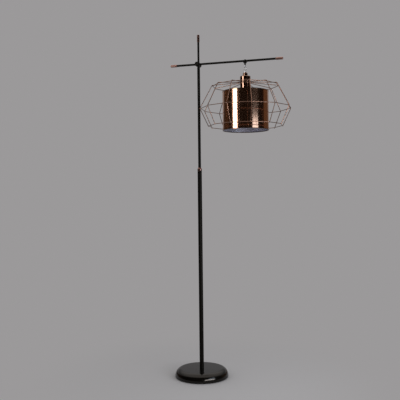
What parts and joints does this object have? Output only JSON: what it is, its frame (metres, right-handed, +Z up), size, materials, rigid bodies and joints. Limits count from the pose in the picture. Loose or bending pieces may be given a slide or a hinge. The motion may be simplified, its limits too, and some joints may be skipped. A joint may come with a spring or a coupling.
{
  "type": "floor lamp",
  "caption": "Floor lamp with a round base, telescopic pole, sliding cross arm and a hanging mirror drum shade inside a faceted wire cage.",
  "frame": {"origin": "on the floor under the pole's axis", "axes": "+Z up along the pole, +X along the arm towards the lamp head, +Y to the back, where the cord inlet is"},
  "size_m": [0.5631, 0.4112, 1.6],
  "materials": {
    "rubber": "matt black rubber",
    "cast_iron": "rough cast iron",
    "base_black": "black powder coat, satin",
    "black_paint": "black lacquer, satin",
    "copper": "copper plated, satin",
    "copper_mirror": "copper plated, polished",
    "cage_copper": "copper plated wire",
    "film_copper": "copper mirror film, silver inside",
    "rim_dark": "dark copper film",
    "steel": "zinc plated steel",
    "chrome": "bright chrome",
    "white_enamel": "white lacquer",
    "nylon": "natural nylon",
    "phenolic": "black moulded plastic",
    "ceramic": "white glazed ceramic",
    "brass": "plain brass",
    "bulb_glass": "opal glass"
  },
  "bodies": {
    "stand": {"base_pad": "rubber", "base_weight": "cast_iron", "base_cover": "base_black", "cord_bushing": "rubber", "threaded_stud": "steel", "flat_washer": "steel", "spring_washer": "steel", "stud_nut": "steel", "pole_foot": "steel", "foot_grub_screw": "steel", "lower_pole": "black_paint", "lock_collet": "nylon"},
    "ferrule": {"lock_ferrule": "copper"},
    "slider": {"guide_plug": "nylon"},
    "upper": {"upper_pole": "black_paint", "rod_seat": "black_paint", "top_rod": "black_paint", "top_tip": "copper"},
    "clamp": {"cross_clamp": "black_paint"},
    "arm_knob": {"arm_thumbscrew": "black_paint"},
    "pole_knob": {"pole_thumbscrew": "black_paint"},
    "arm": {"arm_tube": "black_paint", "arm_tip_left": "copper", "arm_tip_right": "copper", "hanger_lug": "black_paint", "lug_screw": "black_paint"},
    "top_link": {"upper_link": "chrome"},
    "bottom_link": {"lower_link": "chrome"},
    "head": {"loop_nipple": "chrome", "socket_cap": "copper_mirror", "cap_bushing": "rubber", "socket_cup": "copper_mirror", "cup_sleeve": "copper_mirror", "lampholder": "phenolic", "screw_shell": "brass", "contact_carrier": "ceramic", "centre_contact": "brass", "terminal_screws": "brass", "cage_hub": "cage_copper", "spacer_sleeve": "copper_mirror", "shade_fitter": "white_enamel", "ring_nut": "phenolic", "shade_skin": "film_copper", "shade_top_rim": "rim_dark", "shade_bottom_rim": "rim_dark", "bulb_cap": "steel", "bulb_contact": "brass", "bulb_glass": "bulb_glass", "cage_top_ring": "cage_copper", "cage_middle_ring": "cage_copper", "cage_bottom_ring": "cage_copper", "cage_ribs": "cage_copper"}
  },
  "joints": [
    {"name": "ferrule_twist", "type": "hinge", "parent": "stand", "child": "ferrule", "pos_m": [0, 0, 0.972], "axis": [0, 0, 1], "range_deg": [-150, 0]},
    {"name": "pole_height", "type": "slide", "parent": "stand", "child": "slider", "axis": [0, 0, 1], "range_m": [-0.455, 0.18]},
    {"name": "pole_turn", "type": "hinge", "parent": "slider", "child": "upper", "pos_m": [0, 0, 0.75], "axis": [0, 0, 1], "continuous": true},
    {"name": "clamp_height", "type": "slide", "parent": "upper", "child": "clamp", "axis": [0, 0, 1], "range_m": [0, 0.085]},
    {"name": "arm_screw_turn", "type": "hinge", "parent": "clamp", "child": "arm_knob", "pos_m": [0, -0.02195, 1.4595], "axis": [0, -1, 0], "continuous": true},
    {"name": "pole_screw_turn", "type": "hinge", "parent": "clamp", "child": "pole_knob", "pos_m": [0, 0.00995, 1.4595], "axis": [0, 1, 0], "continuous": true},
    {"name": "arm_slide", "type": "slide", "parent": "clamp", "child": "arm", "axis": [1, 0, 0], "range_m": [-0.005, 0.085]},
    {"name": "top_link_swing", "type": "hinge", "parent": "arm", "child": "top_link", "pos_m": [0.225, -0.012, 1.4426], "axis": [0, 1, 0], "range_deg": [-15, 1]},
    {"name": "bottom_link_swing", "type": "hinge", "parent": "top_link", "child": "bottom_link", "pos_m": [0.225, -0.012, 1.4299], "axis": [1, 0, 0], "range_deg": [-30, 30]},
    {"name": "head_swing", "type": "hinge", "parent": "bottom_link", "child": "head", "pos_m": [0.225, -0.012, 1.4174], "axis": [0, 1, 0], "range_deg": [-20, 1]}
  ]
}
